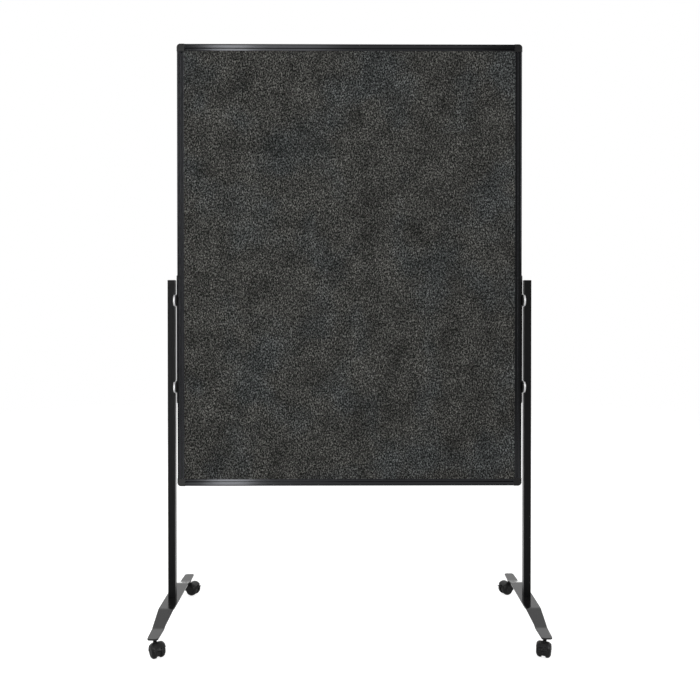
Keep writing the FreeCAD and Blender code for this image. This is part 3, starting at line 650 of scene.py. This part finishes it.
def rail_finish(name, stretch):
    """Dark anodised aluminium with draw lines along the rail."""
    made, tree, shader = new_material(name, finishes().anodised, metallic=1.0)
    lines = placed_group(tree, "Draw Lines", {"Stretch": stretch})
    glossiest, dullest = 0.13, 0.19
    rough = ranged(tree, lines.outputs["Streaks"], 0.0, 1.0, glossiest, dullest)
    tree.links.new(rough, shader.inputs["Roughness"])
    bumped(tree, shader, lines.outputs["Height"], distance=0.012 * MM, strength=0.6)
    return made


def disc_finish(name, centre):
    """Turned aluminium with rings about the disc's own axis."""
    made, tree, shader = new_material(name, finishes().discs, metallic=0.55)
    marks = placed_group(tree, "Turning Marks", {"Centre": centre, "Rings": 2600.0})
    glossiest, dullest = 0.38, 0.52
    rough = ranged(tree, marks.outputs["Height"], *NOISE_SPAN, glossiest, dullest)
    tree.links.new(rough, shader.inputs["Roughness"])
    bumped(tree, shader, marks.outputs["Height"], distance=0.02 * MM, strength=0.6)
    return made


def wheel_finish(name, centre, turn):
    """Moulded wheel with faint rings and a dusty tread."""
    colours = finishes()
    made, tree, shader = new_material(name, colours.wheels, specular=0.18)
    marks = placed_group(tree, "Turning Marks", {"Centre": centre, "Turn": turn, "Rings": 1500.0})
    tread_start = 0.0211
    tread_full = 0.0225
    most_dust = 0.07
    least_scuffed = 0.15
    clean_roughness, dusty_roughness = 0.34, 0.7
    worn = ranged(tree, marks.outputs["Radius"], tread_start, tread_full, 0.0, most_dust, True)
    scuffs = noise_value(tree, object_point(tree), *TREAD_SCUFFS)
    mask = worked(tree, "MULTIPLY", worn, ranged(tree, scuffs, *MIDDLE_SPAN, least_scuffed, 1.0))
    colour = mixed(tree, mask, colours.wheels[:], colours.dust[:])
    tree.links.new(colour, shader.inputs["Base Color"])
    rough = ranged(tree, mask, 0.0, 2 * most_dust, clean_roughness, dusty_roughness)
    tree.links.new(rough, shader.inputs["Roughness"])
    bumped(tree, shader, marks.outputs["Height"], distance=0.03 * MM, strength=0.6)
    return made


def steel_finish():
    """Zinc-plated steel with soft patches."""
    made, tree, shader = new_material("plated_steel", finishes().steel, metallic=1.0)
    texture = placed_group(tree, "Fine Grain", {"Grain": 900.0, "Gloss Patches": 130.0})
    glossiest, dullest = 0.24, 0.42
    rough = ranged(tree, texture.outputs["Patches"], 0.0, 1.0, glossiest, dullest)
    tree.links.new(rough, shader.inputs["Roughness"])
    bumped(tree, shader, texture.outputs["Height"], distance=0.01 * MM, strength=0.5)
    return made


def core_finish():
    """Soft fibreboard with coarse fibres."""
    made, tree, shader = new_material("core_fibre", finishes().core, roughness=0.9, specular=0.2)
    texture = placed_group(tree, "Fine Grain", {"Grain": 600.0, "Gloss Patches": 90.0})
    dark_share = 0.7
    dark = [channel * dark_share for channel in finishes().core]
    colour = mixed(tree, texture.outputs["Patches"], dark, finishes().core[:])
    tree.links.new(colour, shader.inputs["Base Color"])
    bumped(tree, shader, texture.outputs["Height"], distance=0.3 * MM, strength=0.8)
    return made


def dress(made, *names):
    """Gives CAD nodes or added pieces a material."""
    for name in names:
        piece = bpy.data.objects[name]
        piece.data.materials.clear()
        piece.data.materials.append(made)


def castor_place(castor):
    """A castor's axle centre, trailing direction and axle direction."""
    swivel = Vector(JOINTS["castor_" + castor + "_swivel"]["pos_m"])
    roll = JOINTS["castor_" + castor + "_roll_inner"]
    axle = Vector(roll["pos_m"])
    trailing = (axle - swivel).to_2d().normalized().to_3d()
    return axle, trailing, Vector(roll["axis"]).normalized()


# Operators

class PINBOARD_OT_felts(bpy.types.Operator):
    """Lay a soft felt on each side of the panel"""

    bl_idname = "pinboard.felts"
    bl_label = "Felts"

    def execute(self, context):
        for node, outward in (("felt_front", -1), ("felt_rear", 1)):
            low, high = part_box(node)
            bm = bmesh.new()
            felt_sheet(bm, low, high, outward, sizes())
            sheet = finished_object(node + "_sheet", bm)
            smooth_by_angle(sheet, degrees=30)
            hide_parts(node)
        return {"FINISHED"}


class PINBOARD_OT_fasteners(bpy.types.Operator):
    """Set the socket-headed bolts and screws in their places"""

    bl_idname = "pinboard.fasteners"
    bl_label = "Fasteners"

    def execute(self, context):
        self.set_board_bolts()
        self.set_plate_screws()
        self.set_foot_bolts()
        return {"FINISHED"}

    def set_board_bolts(self):
        """Low round heads on the posts' outer faces."""
        values = sizes()
        low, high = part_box("board_bolts")
        bar_low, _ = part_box("nut_bar_right")
        length = high.x - bar_low.x + MM
        head = values.bolt_head
        drop = values.bolt_head_height
        socket_depth = 0.6 * drop
        rings = [(reach * head, -depth * drop) for reach, depth in HEAD_OUTLINE]
        rings += [(values.bolt_shank, -drop), (values.bolt_shank, -length)]
        bm = bmesh.new()
        for side_name, side in SIDES.items():
            for level in LEVELS:
                disc_low, disc_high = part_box("spacer_disc_" + level + "_" + side_name)
                height = (disc_low.z + disc_high.z) / 2
                face = high.x if side > 0 else low.x
                place = facing(Vector((face, 0, height)), Vector((side, 0, 0)))
                socket_fastener(bm, place, NARROW_SHARE * head, socket_depth, rings)
        self.finish_piece("board_bolts", bm)

    def set_plate_screws(self):
        """Countersunk screws flush with the side plates."""
        values = sizes()
        head = values.screw_head
        shank = values.screw_shank
        rings = [(head, 0), (shank, shank - head), (shank, -values.screw_length)]
        bm = bmesh.new()
        for side_name, side in SIDES.items():
            low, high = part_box("side_plate_" + side_name)
            face = high.x if side > 0 else low.x
            for height in (high.z - values.screw_end_distance, low.z + values.screw_end_distance):
                place = facing(Vector((face, 0, height)), Vector((side, 0, 0)))
                socket_fastener(bm, place, WIDE_SHARE * head, NARROW_SHARE * head, rings)
        self.finish_piece("plate_screws", bm)

    def set_foot_bolts(self):
        """Countersunk bolts flush under the feet."""
        values = sizes()
        head = values.foot_bolt_head
        shank = values.foot_bolt_shank
        rings = [(head, 0), (shank, shank - head), (shank, -values.foot_bolt_length)]
        bm = bmesh.new()
        for side_name in SIDES:
            low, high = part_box("base_plug_" + side_name)
            middle = (low.x + high.x) / 2
            place = facing(Vector((middle, 0, low.z - values.foot_thickness)), -UP)
            socket_fastener(bm, place, NARROW_SHARE * head, WIDE_SHARE * head, rings)
        self.finish_piece("foot_bolts", bm)

    def finish_piece(self, node, bm):
        """Makes the group's object and lets it stand for the CAD node."""
        made = finished_object(node + "_turned", bm)
        smooth_by_angle(made, degrees=30)
        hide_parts(node)


class PINBOARD_OT_pedal_ribs(bpy.types.Operator):
    """Raise grip ribs on the brake pedals' tabs"""

    bl_idname = "pinboard.pedal_ribs"
    bl_label = "Pedal ribs"

    def execute(self, context):
        values = sizes()
        tab_angle = math.radians(25)
        tab_half_thickness = 1.2 * MM
        rib_reaches = (12.4 * MM, 14.1 * MM, 15.8 * MM)
        rib_edge = 0.3 * values.rib_height
        for castor in CASTORS:
            _, trailing, _ = castor_place(castor)
            pivot = Vector(JOINTS["castor_" + castor + "_brake"]["pos_m"])
            outward = trailing * math.cos(tab_angle) + UP * math.sin(tab_angle)
            normal = UP * math.cos(tab_angle) - trailing * math.sin(tab_angle)
            width = normal.cross(outward)
            turn = Matrix((outward, width, normal)).transposed().to_4x4()
            bm = bmesh.new()
            for reach in rib_reaches:
                centre = pivot + outward * reach + normal * tab_half_thickness
                bevelled_bar(
                    bm, Matrix.Translation(centre) @ turn, values.rib_length, values.rib_width,
                    2 * values.rib_height, rib_edge)
            ribs = finished_object(
                "castor_" + castor + "_pedal_ribs", bm, "castor_" + castor + "_brake")
            smooth_by_angle(ribs, degrees=40)
        return {"FINISHED"}


class PINBOARD_OT_finishes(bpy.types.Operator):
    """Give every piece its finish"""

    bl_idname = "pinboard.finishes"
    bl_label = "Finishes"

    def execute(self, context):
        for make_group in (heather_group, grain_group, draw_line_group, turning_group, dust_group):
            make_group()
        self.finish_board()
        self.finish_stand()
        self.finish_castors()
        bare = [piece.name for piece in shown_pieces() if not piece.data.materials]
        if bare:
            raise RuntimeError("no finish on " + ", ".join(bare))
        return {"FINISHED"}

    def finish_board(self):
        """Rails, caps, felts, core and what holds the board."""
        colours = finishes()
        dress(felt_finish(), "felt_front", "felt_rear", "felt_front_sheet", "felt_rear_sheet")
        dress(core_finish(), "panel_core")
        level = rail_finish("rail_level_anodised", (ALONG_RAIL, ACROSS_RAIL, ACROSS_RAIL))
        upright = rail_finish("rail_upright_anodised", (ACROSS_RAIL, ACROSS_RAIL, ALONG_RAIL))
        dress(level, "frame_rail_top", "frame_rail_bottom")
        dress(upright, "frame_rail_left", "frame_rail_right")
        caps = grained_finish("cap_moulded", colours.caps, roughness=0.36, specular=0.42)
        dress(caps, "post_cap_left", "post_cap_right")
        for corner in ("top_left", "top_right", "bottom_left", "bottom_right"):
            dress(caps, "corner_cap_" + corner)
        washer = grained_finish("washer_moulded", colours.washers, roughness=0.5, specular=0.4)
        dress(washer, "pad_washers")
        for level_name in LEVELS:
            for side_name in SIDES:
                node = "spacer_disc_" + level_name + "_" + side_name
                low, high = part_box(node)
                dress(disc_finish(node + "_turned", (low + high) / 2), node)

    def finish_stand(self):
        """Posts, plates, feet and hardware."""
        colours = finishes()
        paint = grained_finish("post_paint", colours.paint, roughness=0.36, specular=0.14, grain=750.0)
        gloss = grained_finish(
            "foot_paint", colours.paint, roughness=0.13, specular=0.64, grain=420.0,
            height=0.006 * MM, spread=0.03, dust=0.03)
        steel = steel_finish()
        for side_name in SIDES:
            dress(paint, "post_" + side_name, "side_plate_" + side_name)
            dress(gloss, "foot_" + side_name)
            dress(steel, "nut_bar_" + side_name, "base_plug_" + side_name)
        for group in ("board_bolts", "plate_screws", "foot_bolts"):
            dress(steel, group, group + "_turned")

    def finish_castors(self):
        """Stems, housings, wheels and pedals."""
        colours = finishes()
        housing = grained_finish(
            "castor_moulded", colours.castors, roughness=0.34, specular=0.34, grain=1500.0)
        # The pedals' darker moulding is partly their own black and partly painted shade for the shade
        # under the hoods.
        shaded_pedal = grained_finish(
            "pedal_moulded", colours.pedals, roughness=0.4, specular=0.3, grain=1500.0)
        steel = bpy.data.materials["plated_steel"]
        for castor in CASTORS:
            name = "castor_" + castor
            axle, _, across = castor_place(castor)
            turn = Euler((0, 0, math.atan2(across.y, across.x)))
            wheel = wheel_finish(name + "_wheel_moulded", axle, turn)
            dress(wheel, name + "_wheel_inner", name + "_wheel_outer")
            dress(housing, name + "_housing")
            dress(shaded_pedal, name + "_brake_pedal", name + "_pedal_ribs")
            dress(steel, name + "_stem", name + "_axle")


class PINBOARD_OT_studio(bpy.types.Operator):
    """Set the floor, the soft lights, the surroundings and the camera"""

    bl_idname = "pinboard.studio"
    bl_label = "Studio"

    def execute(self, context):
        values = studio()
        self.lay_floor()
        self.surround()
        for name, (place, target, size) in LIGHTS.items():
            power = getattr(values, name + "_power")
            self.hang_light(name + "_light", Vector(place), Vector(target), size, power)
        self.stand_camera(values)
        context.scene.view_settings.view_transform = "Standard"
        return {"FINISHED"}

    def lay_floor(self):
        """A round pale floor that fades into the white surroundings far from the object."""
        bm = bmesh.new()
        floor_radius = 9.0
        bmesh.ops.create_circle(bm, cap_ends=True, segments=128, radius=floor_radius)
        mesh = bpy.data.meshes.new("studio_floor")
        bm.to_mesh(mesh)
        bm.free()
        floor = bpy.data.objects.new("studio_floor", mesh)
        bpy.context.scene.collection.objects.link(floor)
        mesh.materials.append(self.floor_finish())
        floor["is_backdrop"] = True

    def floor_finish(self):
        """Matt pale floor, lifted to white except where the object shades it; behind the object it glows
        for glossy rays alone, a painted reflection in the glossy feet.
        """
        made, tree, shader = new_material("studio_floor", finishes().floor, roughness=0.9, specular=0.1)
        lift = 0.8
        rear_reflection_glow = 1.1
        rear_from, rear_full = 0.1, 0.5
        fade_from, fade_full = 2.4, 6.5
        rays = added(tree, "ShaderNodeLightPath")
        parts = added(tree, "ShaderNodeSeparateXYZ")
        tree.links.new(object_point(tree), parts.inputs["Vector"])
        # Behind the object the floor glows for glossy rays only: a painted reflection on the feet's rear
        # slopes.
        rear = ranged(tree, parts.outputs["Y"], rear_from, rear_full, 0.0, rear_reflection_glow, True)
        painted_reflection = worked(tree, "MULTIPLY", rays.outputs["Is Glossy Ray"], rear)
        seen = worked(tree, "MULTIPLY", rays.outputs["Is Camera Ray"], lift)
        tree.links.new(worked(tree, "ADD", seen, painted_reflection), shader.inputs["Emission Strength"])
        shader.inputs["Emission Color"].default_value = (1, 1, 1, 1)
        distance = added(tree, "ShaderNodeVectorMath", operation="LENGTH")
        tree.links.new(object_point(tree), distance.inputs[0])
        fade = ranged(tree, distance.outputs["Value"], fade_from, fade_full, 0.0, 1.0, True)
        clear = added(tree, "ShaderNodeBsdfTransparent")
        blend = added(tree, "ShaderNodeMixShader")
        tree.links.new(fade, blend.inputs["Fac"])
        tree.links.new(shader.outputs["BSDF"], blend.inputs[1])
        tree.links.new(clear.outputs["BSDF"], blend.inputs[2])
        output = tree.nodes["Material Output"]
        tree.links.new(blend.outputs["Shader"], output.inputs["Surface"])
        return made

    def surround(self):
        """White surroundings behind, dim ones in front and overhead, and pure white for the camera."""
        world = bpy.data.worlds.new("studio_surroundings")
        world.use_nodes = True
        tree = world.node_tree
        background = tree.nodes["Background"]
        parts = added(tree, "ShaderNodeSeparateXYZ")
        tree.links.new(added(tree, "ShaderNodeTexCoord").outputs["Generated"], parts.inputs["Vector"])
        front, rear = -0.12, 0.46
        dim, bright = 0.13, 0.94
        level = ranged(tree, parts.outputs["Y"], front, rear, dim, bright, True)
        camera_only = added(tree, "ShaderNodeLightPath").outputs["Is Camera Ray"]
        tree.links.new(worked(tree, "MAXIMUM", level, camera_only), background.inputs["Strength"])
        background.inputs["Color"].default_value = (1, 1, 1, 1)
        bpy.context.scene.world = world

    def hang_light(self, name, place, target, size, power):
        """A soft rectangular light that looks at a point."""
        lamp = bpy.data.lights.new(name, "AREA")
        lamp.shape = "RECTANGLE"
        lamp.size, lamp.size_y = size
        lamp.energy = power
        hung = bpy.data.objects.new(name, lamp)
        hung.location = place
        hung.rotation_euler = (target - place).to_track_quat("-Z", "Y").to_euler()
        bpy.context.scene.collection.objects.link(hung)
        hung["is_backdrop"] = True

    def stand_camera(self, values):
        """The camera in front of the board, level with its lower half."""
        lens = bpy.data.cameras.new("studio_camera")
        lens.sensor_width = 36.0
        lens.lens = values.camera_lens
        lens.shift_x = -values.camera_shift_left
        lens.shift_y = -values.camera_shift_down
        lens.clip_end = 100.0
        camera = bpy.data.objects.new("studio_camera", lens)
        camera.location = (-values.camera_left, -values.camera_distance, values.camera_height)
        level = math.radians(90)
        camera.rotation_euler = (level - values.camera_pitch, 0, -values.camera_turn)
        bpy.context.scene.collection.objects.link(camera)
        bpy.context.scene.camera = camera


class PINBOARD_PT_panel(bpy.types.Panel):
    """The pinboard's pieces in the sidebar"""

    bl_idname = "PINBOARD_PT_panel"
    bl_label = "Mobile pinboard"
    bl_space_type = "VIEW_3D"
    bl_region_type = "UI"
    bl_category = "Pinboard"

    def draw(self, context):
        for operator in OPERATORS:
            self.layout.operator(operator.bl_idname)
        for values in (sizes(), finishes(), studio()):
            box = self.layout.box()
            for key in values.bl_rna.properties.keys():
                if key not in ("rna_type", "name"):
                    box.prop(values, key)


OPERATORS = (
    PINBOARD_OT_felts,
    PINBOARD_OT_fasteners,
    PINBOARD_OT_pedal_ribs,
    PINBOARD_OT_finishes,
    PINBOARD_OT_studio,
)
PROPERTIES = {
    "pinboard_sizes": PinboardSizes,
    "pinboard_finishes": PinboardFinishes,
    "pinboard_studio": PinboardStudio,
}


def register():
    """Registers the properties, the operators and the panel."""
    for name, group in PROPERTIES.items():
        bpy.utils.register_class(group)
        setattr(bpy.types.Scene, name, bpy.props.PointerProperty(type=group))
    for operator in OPERATORS:
        bpy.utils.register_class(operator)
    bpy.utils.register_class(PINBOARD_PT_panel)


def unregister():
    """Takes back what register has made."""
    bpy.utils.unregister_class(PINBOARD_PT_panel)
    for operator in reversed(OPERATORS):
        bpy.utils.unregister_class(operator)
    for name, group in reversed(PROPERTIES.items()):
        delattr(bpy.types.Scene, name)
        bpy.utils.unregister_class(group)


def main():
    """Builds the dressed pinboard."""
    register()
    bpy.ops.pinboard.felts()
    bpy.ops.pinboard.fasteners()
    bpy.ops.pinboard.pedal_ribs()
    bpy.ops.pinboard.finishes()
    bpy.ops.pinboard.studio()


if __name__ == "__main__":
    main()
